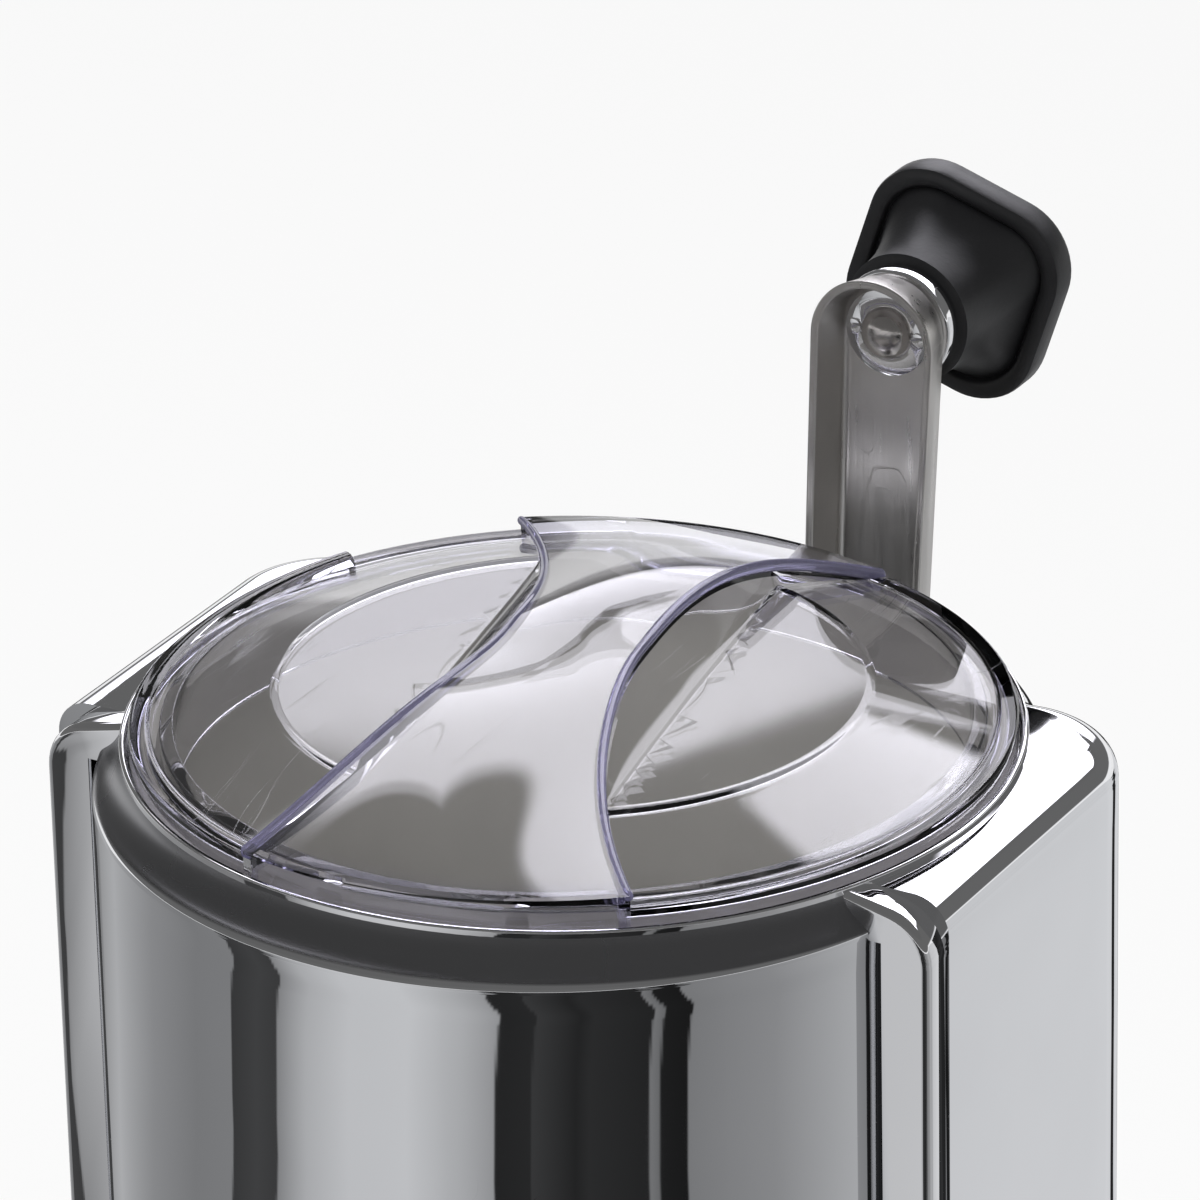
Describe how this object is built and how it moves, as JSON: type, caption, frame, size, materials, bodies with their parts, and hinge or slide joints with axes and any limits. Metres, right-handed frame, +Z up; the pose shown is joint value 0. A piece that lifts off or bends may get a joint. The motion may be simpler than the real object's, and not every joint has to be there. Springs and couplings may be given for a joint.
{
  "type": "hand crank ice crusher",
  "caption": "Chrome lobed ice crusher with a clear twist-grip lid, a toothed rotor between fixed combs, a crank and a clear ice container that slides out of the foot.",
  "frame": {"origin": "On the table, under the axis of the tower and the lid.", "axes": "+Z is up. The crank's axle points to +Y, the back; the ice container slides out to -Y, the front."},
  "size_m": [0.132, 0.1805, 0.2614],
  "materials": {
    "chrome_shell": "bright chrome plating on moulded shells",
    "chrome_trim": "bright chrome plating",
    "clear_lid": "clear moulded acrylic, glossy",
    "clear_container": "clear moulded acrylic, glossy",
    "white_liner": "white moulded plastic",
    "grey_structure": "grey moulded plastic",
    "cutting_steel": "brushed stainless steel",
    "arm_steel": "pressed steel, brushed web and polished edges",
    "screw_steel": "zinc plated steel",
    "bush_plastic": "natural acetal",
    "black_knob": "satin black plastic",
    "foot_rubber": "soft black rubber"
  },
  "bodies": {
    "housing": {"base_plate": "grey_structure", "base_screws": "screw_steel", "boss_escutcheon": "chrome_trim", "chamber_screws": "screw_steel", "comb_left": "cutting_steel", "comb_right": "cutting_steel", "deck_screws": "screw_steel", "foot_front_left": "foot_rubber", "foot_front_right": "foot_rubber", "foot_rear_left": "foot_rubber", "foot_rear_right": "foot_rubber", "front_bearing_plate": "grey_structure", "front_bush": "bush_plastic", "front_shell": "chrome_shell", "guide_left": "grey_structure", "guide_right": "grey_structure", "hopper_liner": "white_liner", "hopper_screws": "screw_steel", "inner_deck": "grey_structure", "rear_bearing_plate": "grey_structure", "rear_bush": "bush_plastic", "rear_shell": "chrome_shell", "top_collar": "chrome_trim", "trim_strip_left": "chrome_trim", "trim_strip_right": "chrome_trim"},
    "lid": {"lid": "clear_lid"},
    "container": {"ice_container": "clear_container"},
    "crank": {"blade_spacer_1": "cutting_steel", "blade_spacer_2": "cutting_steel", "blade_spacer_3": "cutting_steel", "blade_spacer_4": "cutting_steel", "blade_spacer_5": "cutting_steel", "blade_spacer_6": "cutting_steel", "crank_arm": "arm_steel", "crank_cap_nut": "chrome_trim", "crank_hub": "chrome_trim", "ice_blade_1": "cutting_steel", "ice_blade_2": "cutting_steel", "ice_blade_3": "cutting_steel", "ice_blade_4": "cutting_steel", "ice_blade_5": "cutting_steel", "knob_ferrule": "chrome_trim", "knob_pin": "chrome_trim", "knob_washer": "chrome_trim", "rotor_shaft": "cutting_steel", "shaft_clip": "screw_steel"},
    "knob": {"crank_knob": "black_knob", "knob_cap": "black_knob"}
  },
  "joints": [
    {"name": "crank_spin", "type": "hinge", "parent": "housing", "child": "crank", "pos_m": [0, 0, 0.138], "axis": [0, 1, 0], "continuous": true},
    {"name": "knob_spin", "type": "hinge", "parent": "crank", "child": "knob", "pos_m": [0.00504, 0.092, 0.24488], "axis": [0, 1, 0], "continuous": true},
    {"name": "lid_lift", "type": "slide", "parent": "housing", "child": "lid", "axis": [0, 0, 1], "range_m": [0, 0.06]},
    {"name": "container_slide", "type": "slide", "parent": "housing", "child": "container", "axis": [0, -1, 0], "range_m": [0, 0.1]}
  ]
}
